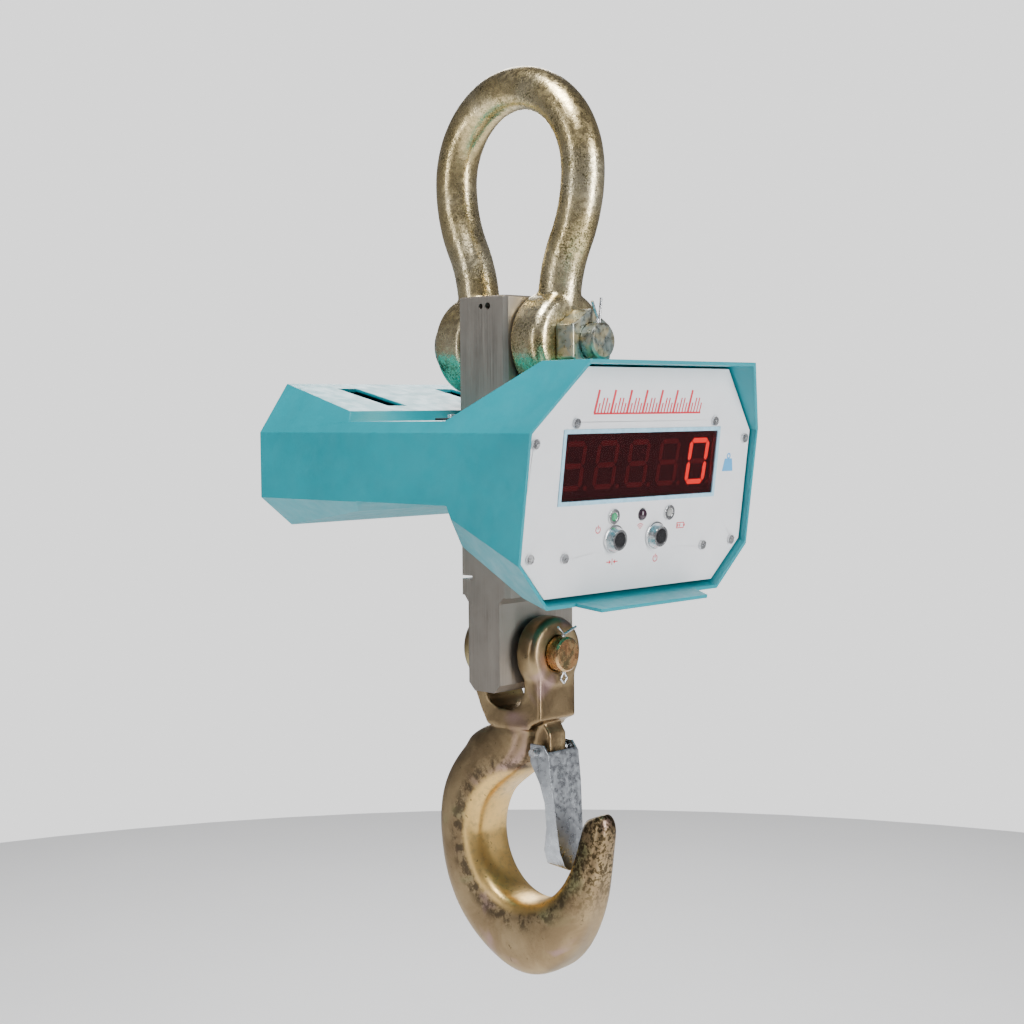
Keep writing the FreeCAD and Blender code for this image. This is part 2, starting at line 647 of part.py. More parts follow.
frame_outer = box("display_frame_outer", ("D.window_width + 2 * D.frame_edge",
                                          "D.window_height + 2 * D.frame_edge", 0.8),
                  ("%g - D.window_width / 2 - D.frame_edge" % WINDOW_X,
                   "D.window_rise - D.window_height / 2 - D.frame_edge", 0))
frame_step = box("display_frame_step", ("D.window_width + 2.6", "D.window_height + 2.6", 3.5),
                 ("%g - D.window_width / 2 - 1.3" % WINDOW_X,
                  "D.window_rise - D.window_height / 2 - 1.3", -3.5))
frame_hole = box("display_frame_hole", ("D.window_width", "D.window_height", 8),
                 ("%g - D.window_width / 2" % WINDOW_X, "D.window_rise - D.window_height / 2", -6))
keep("display_frame", on_panel(cut("display_frame_cut", fuse("display_frame_whole",
                                                             [frame_outer, frame_step]), [frame_hole])))
keep("display_window", on_panel(group("display_window_set", [box(
    "display_window_plate", ("D.window_width - 0.3", "D.window_height - 0.3", 2.5),
    ("%g - D.window_width / 2 + 0.15" % WINDOW_X, "D.window_rise - D.window_height / 2 + 0.15", -2.7))])))

for number in range(5):
    block = box("digit_block_%d" % (number + 1), ("D.digit_width", "D.digit_height", "D.digit_body"),
                ("%d * D.digit_pitch - D.digit_width / 2" % (number - 2),
                 "D.window_rise - D.digit_height / 2", "-D.digit_sink - D.digit_body"))
    keep("digit_%d" % (number + 1), on_panel(group("digit_set_%d" % (number + 1), [block])))

board_back = "-D.digit_sink - D.digit_body - D.board_plate - 0.02"
board = box("display_board_plate", (170, 106, "D.board_plate"), (-85, -53, board_back))
board_ways = [cylinder("board_way_%d" % n, 10.5, 8, (x, "D.button_rise", -20))
              for n, x in enumerate(BUTTONS.values())]
keep("display_board", on_panel(cut("display_board_cut", board, board_ways)))
posts = [cylinder("display_post_%d" % n, 3.0, "D.digit_sink + D.digit_body - D.panel_plate",
                  (x, y, "-D.digit_sink - D.digit_body")) for n, (x, y) in enumerate(INNER_SCREWS)]
post_bores = [cylinder("display_post_bore_%d" % n, 1.5, 20, (x, y, -18))
              for n, (x, y) in enumerate(INNER_SCREWS)]
keep("display_posts", on_panel(group("display_posts_set", [
    cut("display_post_cut_%d" % n, post, [bore])
    for n, (post, bore) in enumerate(zip(posts, post_bores))])))


def domed_lamp(name, x, radius, stand):
    """Lens with a rounded nose, its foot reaching back to the display board."""
    foot = cylinder(name + "_foot", radius, "D.digit_sink + D.digit_body + 0.2",
                    (x, "D.lamp_rise", "-D.digit_sink - D.digit_body"))
    nose = doc.addObject("Part::Ellipsoid", name + "_nose")
    bind(nose, "Radius1", stand)
    bind(nose, "Radius2", radius)
    nose.Angle1 = 0
    place(nose, (x, "D.lamp_rise", 0.2))
    return keep(name, on_panel(fuse(name + "_whole", [foot, nose])))


domed_lamp("power_lamp", LAMPS["green"], 2.9, 2.2)
domed_lamp("charge_lamp", LAMPS["clear"], 2.9, 2.2)
domed_lamp("remote_receiver", RECEIVER_X, 4.0, 2.4)


def bezel(name, x, rise, hole, rim, stand):
    flange = cylinder(name + "_flange", rim, stand, (x, rise, 0))
    sleeve = cylinder(name + "_sleeve", "%s + 1.0" % hole, "D.panel_plate + 1.5",
                      (x, rise, "-D.panel_plate - 1.5"))
    way = cylinder(name + "_way", hole, 20, (x, rise, -10))
    return cut(name, fuse(name + "_whole", [flange, sleeve]), [way])


keep("lamp_bezels", on_panel(group("lamp_bezels_set", [
    bezel("lamp_bezel_" + colour, x, "D.lamp_rise", "3.05", "D.bezel_radius", 1.4)
    for colour, x in LAMPS.items()])))

for which, x in BUTTONS.items():
    rise = "D.button_rise"
    collar = cylinder(which + "_collar", 10.0, 1.6, (x, rise, 0))
    barrel = doc.addObject("Part::Cone", which + "_barrel")
    bind(barrel, "Radius1", 9.2)
    bind(barrel, "Radius2", 7.4)
    bind(barrel, "Height", 5.0)
    place(barrel, (x, rise, 1.6))
    neck = cylinder(which + "_neck", 8.0, 9.0, (x, rise, -9.0))
    well = cylinder(which + "_well", "D.button_radius + 0.15", 14.0, (x, rise, -6.0))
    shell = cut(which + "_switch_cut", fuse(which + "_switch_whole", [collar, barrel, neck]), [well])
    keep(which + "_switch", on_panel(shell))
    ring_nut = cylinder(which + "_nut_outer", 10.0, 2.5, (x, rise, -4.6))
    ring_hole = cylinder(which + "_nut_hole", 8.05, 6, (x, rise, -6))
    keep(which + "_switch_nut", on_panel(cut(which + "_switch_nut_cut", ring_nut, [ring_hole])))
    cap = cylinder(which + "_cap", "D.button_radius", "7.4 + 5.0 - D.button_travel - 0.6",
                   (x, rise, "-5.4 + D.button_travel"))
    keep(which + "_button", on_panel(fuse(which + "_button_whole", [
        cap, cylinder(which + "_cap_face", "D.button_radius - 0.8", 0.5,
                      (x, rise, "-5.4 + 11.8"))])))

# ---------------------------------------------------------------- electronics and battery

main_board = pad_body("main_board_body", "XZ_Plane", [(-60, -36), (60, -36), (60, 30), (-60, 30)],
                      "D.board_plate")
pocket(main_board, "main_board_holes", "XZ_Plane", [(x, z, 1.7) for x in (-54, 54) for z in (-30, 24)])
place(main_board, (0, -66, -272))
keep("main_board", main_board)
chips = [((-30, -20), (24, 24, 3)), ((10, 2), (30, 16, 8)), ((-48, 6), (14, 18, 12)), ((20, -28), (34, 10, 9))]
keep("board_chips", group("board_chips_set", [
    box("chip_%d" % n, (wide, deep, tall), (x, -67.62 - deep, -272 + z))
    for n, ((x, z), (wide, tall, deep)) in enumerate(chips)]))
keep("board_spacers", group("board_spacers_set", [
    cut("board_spacer_%d_%d" % (x, z),
        cylinder("spacer_outer_%d_%d" % (x, z), 3.2, 30, (x, -66, -272 + z), ALONG_Y),
        [cylinder("spacer_bore_%d_%d" % (x, z), 1.6, 40, (x, -67, -272 + z), ALONG_Y)])
    for x in (-54, 54) for z in (-30, 24)]))

gland = fuse("cell_gland_whole", [
    cylinder("cell_gland_thread", 3.9, 8, (0, -32.0, -262), ALONG_Y),
    cylinder("cell_gland_nut", 6.5, 7, (0, -33.0, -262), ALONG_Y)])
keep("cell_gland", cut("cell_gland_cut", gland, [
    cylinder("cell_gland_bore", 2.5, 20, (0, -38, -262), ALONG_Y)]))
cable_route = [(0, -27, -262), (0, -45, -262), (0, -56, -250), (18, -63.6, -250)]
keep("cell_cable", feature("cell_cable_shape", bent_wire(cable_route, 2.4, 7.0)))

battery_z = -291.0
keep("battery_pack", box("battery_block", ("D.battery_width", "D.battery_depth", "D.battery_height"),
                         ("-D.battery_width / 2", 84, battery_z)))
tray_depth = 54
tray = yz_prism([(80, -283), (80, -293.2), (136, -293.2), (136, -262), (134.5, -262), (134.5, -291.7),
                 (81.5, -291.7), (81.5, -283)], 60)
keep("battery_tray", feature("battery_tray_shape", tray))
keep("battery_strap", feature("battery_strap_shape", yz_prism(
    [(81.8, -291.4), (83.7, -291.4), (83.7, -230.7), (132.3, -230.7), (132.3, -291.4), (134.2, -291.4),
     (134.2, -229.2), (81.8, -229.2)], 10)))

cover = pad_body("rear_cover_body", "XZ_Plane", [
    ("-D.cover_width / 2", "-D.cover_height / 2"), ("D.cover_width / 2", "-D.cover_height / 2"),
    ("D.cover_width / 2", "D.cover_height / 2"), ("-D.cover_width / 2", "D.cover_height / 2")],
    "D.cover_plate")
bevel(cover, "rear_cover_corners", 5.0, lambda edge: edge.BoundBox.YLength > 1)
pocket(cover, "rear_cover_holes", "XZ_Plane", [(x, z, 2.2) for x, z in COVER_SCREWS] + [(48, 0, 6.3)])
place(cover, (0, "D.rear_y + 1.2 + D.cover_plate", COVER_Z))
keep("rear_cover", cover)
seal = pad_body("cover_gasket_body", "XZ_Plane", [
    ("-D.cover_width / 2 + 1", "-D.cover_height / 2 + 1"),
    ("D.cover_width / 2 - 1", "-D.cover_height / 2 + 1"),
    ("D.cover_width / 2 - 1", "D.cover_height / 2 - 1"),
    ("-D.cover_width / 2 + 1", "D.cover_height / 2 - 1")], 1.2)
bevel(seal, "cover_gasket_corners", 5.0, lambda edge: edge.BoundBox.YLength > 1)
pocket(seal, "cover_gasket_way", "XZ_Plane", points=[(-66, -20), (66, -20), (66, 20), (-66, 20)])
pocket(seal, "cover_gasket_holes", "XZ_Plane", [(x, z, 2.3) for x, z in COVER_SCREWS])
place(seal, (0, "D.rear_y + 1.2", COVER_Z))
keep("cover_gasket", seal)
keep("cover_screws", group("cover_screws_set", [
    headed("cover_screw_%d_%d" % (x, z), 2.1, 4.6, 3.8, 2.2,
           (x, "D.rear_y + 1.2 + D.cover_plate", COVER_Z + z), inward(1), 1.3)
    for x, z in COVER_SCREWS]))
socket_body = fuse("charger_socket_whole", [
    cylinder("charger_socket_barrel", 6.0, 16, (48, "D.rear_y - 9", COVER_Z), ALONG_Y),
    cylinder("charger_socket_flange", 8.0, 1.8, (48, "D.rear_y + 3.25", COVER_Z), ALONG_Y)])
keep("charger_socket", cut("charger_socket_cut", socket_body, [
    cylinder("charger_socket_way", 4.5, 11, (48, "D.rear_y - 3", COVER_Z), ALONG_Y)]))

# ---------------------------------------------------------------- hook

# Stations of the forged body, seen from the throat's centre: angle from the back, inner and
# outer reach, and half thickness across the hook.
HOOK_STATIONS = [
    (40, 42.0, 88.0, 22.5), (20, 41.5, 87.5, 23), (0, 42.0, 86.0, 23), (-20, 42.5, 87.0, 23),
    (-40, 43.5, 90.5, 23), (-60, 44.5, 94.5, 23), (-80, 45.5, 100.0, 23), (-97, 46.0, 102.0, 22.5),
    (-113, 46.0, 95.5, 21), (-128, 46.0, 86.5, 19), (-143, 46.3, 79.0, 17), (-158, 47.0, 74.5, 15),
    (-172, 48.5, 73.5, 13), (-184, 51.0, 76.0, 11.5), (-193, 54.5, 79.5, 10.5), (-199, 58.0, 80.0, 9),
    (-202.5, 62.0, 77.5, 6),
]
# The neck above the throat: inner and outer corner of each station in the YZ plane.
HOOK_NECK = [((-25, -440), (24, -440), 18), ((-26, -458), (18, -459), 19),
             ((-18, -480), (29, -463), 21.5), ((0, -500.5), (44, -473.5), 22.5)]


def rounded_section(inner, outer, half):
    """Closed spline round an oval section: fuller outside, crowned inside."""
    middle = (inner + outer) * 0.5
    along = (outer - inner) * 0.5
    points = []
    for step in range(16):
        angle = 2 * math.pi * (step + 0.5) / 16
        c, s = math.cos(angle), math.sin(angle)
        reach = math.copysign(abs(c) ** 0.62, c)
        width = math.copysign(abs(s) ** 0.55, s) * half
        points.append(middle + along * reach + Vector(width, 0, 0))
    spline = Part.BSplineCurve()
    spline.interpolate(points, PeriodicFlag=True)
    return Part.Wire(spline.toShape())


def make_hook():
    centre = Vector(0, value("D.throat_y"), value("D.throat_z"))
    sections = [rounded_section(Vector(0, *inner), Vector(0, *outer), half)
                for inner, outer, half in HOOK_NECK]
    for degrees, inner, outer, half in HOOK_STATIONS:
        angle = math.radians(degrees)
        ray = Vector(0, math.cos(angle), math.sin(angle))
        sections.append(rounded_section(centre + ray * inner, centre + ray * outer, half))
    curve = Part.makeLoft(sections, True, False)
    level = value("D.hook_level")
    saddle = value("D.saddle_level")
    inner = value("D.hook_ear_inner")
    outer = value("D.hook_ear_outer")
    fork = yz_prism([(outer - 1, level), (outer - 1, level - 22), (31, level - 32), (24, level - 47),
                     (18, level - 57), (-25, level - 57), (-28, level - 53), (-outer + 1, level - 49),
                     (-outer + 1, level)], 20)
    gap = yz_prism([(inner, level + 40), (inner, saddle + 14), (inner - 5, saddle + 4), (inner - 13, saddle),
                    (-inner + 13, saddle), (-inner + 5, saddle + 4), (-inner, saddle + 14),
                    (-inner, level + 40)], 40)
    ear = Part.makeCylinder(value("D.hook_ear_radius"), outer - inner, Vector(0, inner, level), Vector(0, 1, 0))
    rims = [edge for edge in ear.Edges if edge.Curve.TypeId == "Part::GeomCircle"
            and edge.Curve.Center.y > inner + 1]
    ear = ear.makeFillet(6.0, rims)
    y, z = value("D.latch_y"), value("D.latch_z")
    rib = yz_prism([(-30, -452), (-37, -462), (-37, z - 5), (-30, z - 13), (-15, z - 10), (-12, -452)], 9.5)
    whole = curve.fuse([fork, ear, mirrored_y(ear), rib]).cut(gap)
    pin_way = Part.makeCylinder(value("D.hook_pin_radius"), 120, Vector(0, -60, level), Vector(0, 1, 0))
    latch_way = Part.makeCylinder(value("D.latch_pin_radius"), 80, Vector(-40, y, z), Vector(1, 0, 0))
    return whole.cut([pin_way, latch_way]).removeSplitter()


keep("hook_forging", feature("hook_forging_shape", make_hook()))

pin_rod = cylinder("hook_pin_rod", "D.hook_pin_radius", "2 * D.hook_pin_half",
                   (0, "-D.hook_pin_half", "D.hook_level"), ALONG_Y)
pin_holes = [cylinder("hook_pin_hole_%d" % side, 1.9, 60, (0, "%d * (D.hook_pin_half - 5)" % side,
                                                          "D.hook_level - 30"))
             for side in (-1, 1)]
hook_pin = cut("hook_pin_cut", pin_rod, pin_holes)
hook_pin_soft = doc.addObject("Part::Chamfer", "hook_pin_edges")
hook_pin_soft.Base = hook_pin
doc.recompute()
hook_pin_soft.Edges = [(number + 1, 1.5, 1.5) for number, edge in enumerate(hook_pin.Shape.Edges)
                       if edge.Curve.TypeId == "Part::GeomCircle" and edge.BoundBox.YLength < 0.01]
keep("hook_pin", hook_pin_soft)


def hook_split_pins():
    front = split_pin(0.9, 14.0, 3.4, [(14, 0, 19), (-9, -3, 21)])
    back = split_pin(0.9, 14.0, 3.4, [(9, 0, 20), (-9, 0, 20)])
    level = value("D.hook_level")
    reach = value("D.hook_pin_half") - 5
    front.Placement = Placement(Vector(0, -reach, level), LEVEL)
    back.Placement = Placement(Vector(0, reach, level), LEVEL)
    return Part.makeCompound([front, back])


keep("hook_split_pins", feature("hook_split_pins_shape", hook_split_pins()))

latch_pin_half = "(D.latch_half + 5)"
keep("latch_pin", cylinder("latch_pin_rod", "D.latch_pin_radius", "2 * " + latch_pin_half,
                           ("-" + latch_pin_half, "D.latch_y", "D.latch_z"), ALONG_X))


def make_latch():
    """Folded channel: a front plate that narrows downwards and two side flanges."""
    y, z = value("D.latch_y"), value("D.latch_z")
    half = value("D.latch_half")
    front_top, front_low = (-42.6, -478.0), (-51.6, -562.0)
    side = [(y + 6, z + 6), (-37, z + 6), (-42.6, z - 1), front_low, (-33.5, -559.0), (-34, -548),
            (-37.5, -530), (-37, -512), (-33, -498), (y + 6, z - 8)]
    solid = yz_prism(side, half)
    hollow = yz_prism([(y + 40, z + 40), (-36.5, z + 40), (-40.9, z - 1), (-50.1, -566), (y + 40, -566)],
                      half - 1.8)
    corners = [Vector(x, -80, zz) for x, zz in (
        (-half, z + 10), (half, z + 10), (half, -500), (13.2, -548), (9.5, -558), (4.0, -562.5),
        (-4.0, -562.5), (-9.5, -558), (-13.2, -548), (-half, -500))]
    plan = Part.Face(Part.makePolygon(corners + corners[:1])).extrude(Vector(0, 80, 0))
    inner = [Vector(x, -80, zz) for x, zz in (
        (-half + 1.8, z + 12), (half - 1.8, z + 12), (half - 1.8, -500), (11.4, -548), (8.0, -556.5),
        (3.4, -560.6), (-3.4, -560.6), (-8.0, -556.5), (-11.4, -548), (-half + 1.8, -500))]
    core = Part.Face(Part.makePolygon(inner + inner[:1])).extrude(Vector(0, 80, 0))
    way = Part.makeCylinder(value("D.latch_pin_radius + D.running_gap"), 80, Vector(-40, y, z), Vector(1, 0, 0))
    return solid.common(plan).cut(hollow.common(core)).cut(way).removeSplitter()


keep("latch_plate", feature("latch_plate_shape", make_latch()))


def make_latch_spring():
    """Two coils on the latch pin, each with one leg on the hook and one on the latch."""
    y, z = value("D.latch_y"), value("D.latch_z")
    wire_radius = 0.8
    coils = []
    for side in (-1, 1):
        start = side * (value("D.latch_half") - 2.4)
        coil = Part.makeCylinder(4.9, 3.6, Vector(start, y, z), Vector(-side, 0, 0))
        hollow = Part.makeCylinder(3.4, 3.6, Vector(start, y, z), Vector(-side, 0, 0))
        leg = Part.makeCylinder(wire_radius, 24, Vector(start - side * 1.2, y - 4.2, z), Vector(0, -0.08, -1))
        coils.append(coil.cut(hollow).fuse(leg).removeSplitter())
    return Part.makeCompound(coils)


keep("latch_spring", feature("latch_spring_shape", make_latch_spring()))

# ---------------------------------------------------------------- checks and export

doc.recompute()
for item in doc.Objects:
    if {"Invalid", "Error"} & set(item.State):
        raise ValueError("%s failed: %s" % (item.Label, item.State))

os.makedirs("parts", exist_ok=True)
for name, item in subparts.items():
    shape = item.Shape
    if shape.isNull() or not shape.isValid() or not shape.Solids:
        raise ValueError(name + " has no valid solid")
    shape.exportStep("parts/%s.step" % name)
    print("%-18s %2d solids  %9.1f mm3" % (name, len(shape.Solids), shape.Volume))
whole = FreeCAD.BoundBox()
for item in subparts.values():
    whole.add(item.Shape.BoundBox)
print("%d nodes, box" % len(subparts), whole)
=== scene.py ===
import json
import math

import bpy
import bmesh
from mathutils import Matrix, Vector, noise


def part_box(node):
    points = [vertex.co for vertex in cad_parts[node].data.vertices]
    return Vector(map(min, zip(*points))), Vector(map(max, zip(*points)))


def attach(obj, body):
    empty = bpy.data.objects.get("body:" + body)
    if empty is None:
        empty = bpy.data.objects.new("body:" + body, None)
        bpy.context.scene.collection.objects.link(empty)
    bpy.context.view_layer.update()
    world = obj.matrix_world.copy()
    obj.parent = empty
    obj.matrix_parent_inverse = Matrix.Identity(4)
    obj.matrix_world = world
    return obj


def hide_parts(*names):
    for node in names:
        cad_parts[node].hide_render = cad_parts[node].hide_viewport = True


# Crane scale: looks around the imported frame.  Metres, +Z up, the display looks along -Y.

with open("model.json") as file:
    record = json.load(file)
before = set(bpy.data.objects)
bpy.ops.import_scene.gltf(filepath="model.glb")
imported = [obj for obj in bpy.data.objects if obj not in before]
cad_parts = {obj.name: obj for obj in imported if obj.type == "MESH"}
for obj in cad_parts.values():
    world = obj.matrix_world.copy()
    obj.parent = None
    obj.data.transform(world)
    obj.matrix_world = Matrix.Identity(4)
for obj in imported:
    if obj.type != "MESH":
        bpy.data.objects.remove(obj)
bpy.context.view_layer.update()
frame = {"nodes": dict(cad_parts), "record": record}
NODES = frame["nodes"]
MM = 0.001

# ---------------------------------------------------------------- node materials


class Surface:
    """Principled material driven by noise in the object's own frame."""

    def __init__(self, name, metal=0.0, rough=0.4, **fixed):
        self.material = bpy.data.materials.new(name)
        self.material.use_nodes = True
        self.tree = self.material.node_tree
        self.shader = self.tree.nodes["Principled BSDF"]
        self.shader.inputs["Metallic"].default_value = metal
        self.shader.inputs["Roughness"].default_value = rough
        for socket, number in fixed.items():
            self.shader.inputs[socket.replace("_", " ")].default_value = number
        self.where = self.add("ShaderNodeTexCoord").outputs["Object"]
        self.height = None

    def add(self, kind, **settings):
        node = self.tree.nodes.new(kind)
        for key, setting in settings.items():
            setattr(node, key, setting)
        return node

    def feed(self, socket, source):
        if isinstance(source, bpy.types.NodeSocket):
            self.tree.links.new(source, socket)
        else:
            socket.default_value = source

    def grain(self, scale, detail=3.0, rough=0.55, stretch=None, warp=0.0):
        """Noise with `scale` features per metre, optionally stretched along the axes."""
        place = self.where
        if stretch:
            mapping = self.add("ShaderNodeMapping")
            mapping.inputs["Scale"].default_value = stretch
            self.feed(mapping.inputs["Vector"], place)
            place = mapping.outputs["Vector"]
        node = self.add("ShaderNodeTexNoise")
        self.feed(node.inputs["Vector"], place)
        for key, number in (("Scale", scale), ("Detail", detail), ("Roughness", rough),
                            ("Distortion", warp)):
            node.inputs[key].default_value = number
        return node.outputs["Fac"]

    def window(self, source, low, high, out_low=0.0, out_high=1.0):
        """Source between low and high, spread smoothly over the output range."""
        node = self.add("ShaderNodeMapRange", interpolation_type="SMOOTHSTEP")
        self.feed(node.inputs["Value"], source)
        for key, number in (("From Min", low), ("From Max", high), ("To Min", out_low),
                            ("To Max", out_high)):
            node.inputs[key].default_value = number
        return node.outputs["Result"]

    def sum(self, a, b, operation="ADD"):
        node = self.add("ShaderNodeMath", operation=operation)
        self.feed(node.inputs[0], a)
        self.feed(node.inputs[1], b)
        return node.outputs[0]

    def blend(self, factor, a, b, mode="MIX"):
        """Colour a where factor is 0, colour b where it is 1."""
        node = self.add("ShaderNodeMix", data_type="RGBA", blend_type=mode)
        self.feed(node.inputs[0], factor)
        for socket, source in ((node.inputs[6], a), (node.inputs[7], b)):
            self.feed(socket, source if isinstance(source, bpy.types.NodeSocket) else (*source, 1.0))
        return node.outputs[2]

    def axis(self, letter):
        node = self.add("ShaderNodeSeparateXYZ")
        self.feed(node.inputs[0], self.where)
        return node.outputs[letter]

    def reach(self, centre):
        """Distance from a line along X through centre."""
        y = self.sum(self.axis("Y"), -centre[0])
        z = self.sum(self.axis("Z"), -centre[1])
        square = self.sum(self.sum(y, y, "MULTIPLY"), self.sum(z, z, "MULTIPLY"))
        return self.sum(square, 0.5, "POWER")

    def colour(self, source):
        socket = self.shader.inputs["Base Color"]
        self.feed(socket, source if isinstance(source, bpy.types.NodeSocket) else (*source, 1.0))

    def roughness(self, source):
        self.feed(self.shader.inputs["Roughness"], source)

    def bump(self, height, distance, strength=1.0):
        """Adds one layer of relief, `distance` metres deep, over those before it."""
        node = self.add("ShaderNodeBump")
        node.inputs["Distance"].default_value = distance
        node.inputs["Strength"].default_value = strength
        self.feed(node.inputs["Height"], height)
        if self.height:
            self.feed(node.inputs["Normal"], self.height)
        self.height = node.outputs["Normal"]
        self.feed(self.shader.inputs["Normal"], self.height)


def coloured_steel(name, gold, dark, pale, speckle, rough=0.30, relief=0.00035):
    """Passivated zinc on a forging: metallic gold broken by dark and pale grains."""
    s = Surface(name, metal=1.0)
    fine = s.grain(900, 2.0, 0.6)
    coarse = s.grain(260, 4.0, 0.65)
    broad = s.grain(22, 3.0, 0.5)
    tone = s.blend(s.window(broad, 0.35, 0.68), gold, pale)
    both = s.sum(s.sum(fine, 0.6, "MULTIPLY"), s.sum(coarse, 0.5, "MULTIPLY"))
    spots = s.window(both, 0.60 - speckle * 0.12, 0.66 - speckle * 0.06)
    where_dull = s.window(s.grain(34, 3.0, 0.6, warp=0.8), 0.38, 0.62, 0.25, 1.0)
    s.colour(s.blend(s.sum(spots, where_dull, "MULTIPLY"), tone, dark))
    s.roughness(s.window(coarse, 0.3, 0.7, rough - 0.12, rough + 0.10))
    s.bump(s.grain(60, 4.0, 0.6), relief * 2.2, 0.7)
    s.bump(s.grain(330, 3.0, 0.6), relief, 0.5)
    return s


def zinc_forging():
    return coloured_steel("shackle_zinc", (0.72, 0.57, 0.29), (0.15, 0.125, 0.060),
                          (0.90, 0.80, 0.54), 0.62).material


def hook_forging(centre, tip):
    """Browner and smoother than the shackle; the bowl carries a painted gold highlight edged by a
    painted shade band, and the tip is grainy.
    """
    s = Surface("hook_zinc", metal=1.0)
    broad = s.grain(26, 4.0, 0.6, warp=0.6)
    fine = s.grain(240, 3.0, 0.6)
    base = s.blend(s.window(broad, 0.36, 0.66), (0.25, 0.175, 0.095), (0.38, 0.28, 0.155))
    tint = s.grain(17, 2.0, 0.5, warp=1.2)
    base = s.blend(s.window(tint, 0.60, 0.74, 0.0, 0.45), base, (0.42, 0.26, 0.30))
    base = s.blend(s.window(tint, 0.25, 0.38, 0.40, 0.0), base, (0.30, 0.36, 0.16))
    far = s.reach(centre)
    # Painted highlight: within about 50 mm of the throat's axis, fading out by 57 mm, the bowl is
    # painted bright gold, broken by fine noise.
    bowl_painted_highlight = s.sum(s.window(far, 0.050, 0.057, 1.0, 0.0), s.window(fine, 0.25, 0.55, 0.55, 1.0),
                 "MULTIPLY")
    base = s.blend(bowl_painted_highlight, base, (0.72, 0.48, 0.17))
    # Painted shade: a dark band about 51 to 70 mm from the throat's axis, darkest from 56 to 60 mm,
    # broken by noise, along the bowl's edge.
    bowl_edge_painted_shade = s.sum(s.window(far, 0.051, 0.056), s.window(far, 0.060, 0.070, 1.0, 0.0), "MULTIPLY")
    base = s.blend(s.sum(bowl_edge_painted_shade, s.window(s.grain(120, 3.0, 0.7), 0.42, 0.60, 0.0, 0.8), "MULTIPLY"),
                   base, (0.06, 0.045, 0.03))
    near_tip = s.window(s.reach(tip), 0.030, 0.085, 1.0, 0.0)
    spots = s.sum(near_tip, s.window(s.grain(330, 3.0, 0.65), 0.47, 0.56), "MULTIPLY")
    base = s.blend(spots, base, (0.07, 0.05, 0.025))
    flecks = s.window(s.grain(190, 4.0, 0.7), 0.63, 0.70, 0.0, 0.75)
    s.colour(s.blend(flecks, base, (0.10, 0.075, 0.045)))
    s.roughness(s.window(broad, 0.3, 0.7, 0.30, 0.46))
    s.bump(s.grain(45, 4.0, 0.6), 0.0006, 0.6)
    s.bump(s.grain(420, 3.0, 0.6), 0.00018, 0.8)
    return s.material


def turned_steel(name, tone, other, rough=0.28):
    s = Surface(name, metal=1.0)
    patch = s.grain(70, 4.0, 0.6, warp=0.8)
    s.colour(s.blend(s.window(patch, 0.38, 0.64), tone, other))
    s.roughness(s.window(s.grain(260, 3.0), 0.3, 0.7, rough - 0.06, rough + 0.12))
    s.bump(s.grain(500, 3.0, 0.6), 0.00012, 0.7)
    return s.material


def brushed_steel(name, tone, stretch, rough=0.42):
    """Satin steel with long brush lines."""
    s = Surface(name, metal=0.85)
    lines = s.grain(1.0, 5.0, 0.65, stretch=stretch)
    cloud = s.grain(24, 4.0, 0.6)
    dull = tuple(v * 0.72 for v in tone)
    brushed = s.blend(s.window(lines, 0.3, 0.7), dull, tone)
    s.colour(s.blend(s.window(cloud, 0.35, 0.68), brushed, tone))
    s.roughness(s.window(lines, 0.25, 0.75, rough - 0.08, rough + 0.14))
    s.bump(lines, 0.00012, 0.6)
    return s.material


def powder_coat(name, tone, deep):
    """Satin powder coat: orange peel, faint cloudiness, a thin clear gloss."""
    s = Surface(name, rough=0.36, Coat_Weight=0.08, Coat_Roughness=0.22)
    s.colour(s.blend(s.window(s.grain(18, 4.0, 0.6), 0.3, 0.7), tone, deep))
    s.roughness(s.window(s.grain(90, 3.0), 0.3, 0.7, 0.32, 0.46))
    s.bump(s.grain(420, 2.0, 0.5), 0.00010, 0.6)
    s.bump(s.grain(1400, 2.0, 0.5), 0.00003, 0.6)
    return s.material


def plastic(name, tone, rough=0.3, shift=0.85, bump=0.00003, **fixed):
    s = Surface(name, rough=rough, **fixed)
    s.colour(s.blend(s.window(s.grain(60, 3.0), 0.3, 0.7), tone, tuple(v * shift for v in tone)))
    s.roughness(s.window(s.grain(300, 3.0), 0.3, 0.7, rough - 0.04, rough + 0.08))
    s.bump(s.grain(1200, 2.0), bump, 0.5)
    return s.material


def lit(name, tone, strength):
    """Glowing segment, its tone varied at random by fine noise."""
    s = Surface(name, rough=0.3, Emission_Strength=strength)
    glow = s.blend(s.window(s.grain(700, 2.0), 0.3, 0.7), tone, tuple(v * 0.85 for v in tone))
    s.colour(glow)
    s.feed(s.shader.inputs["Emission Color"], glow)
    return s.material


def woven(name, tone):
    s = Surface(name, rough=0.85)
    wave = s.add("ShaderNodeTexWave", wave_type="BANDS", bands_direction="DIAGONAL")
    s.feed(wave.inputs["Vector"], s.where)
    wave.inputs["Scale"].default_value = 260
    s.colour(s.blend(wave.outputs["Fac"], tone, tuple(v * 0.5 for v in tone)))
    s.bump(wave.outputs["Fac"], 0.0003, 0.8)
    return s.material


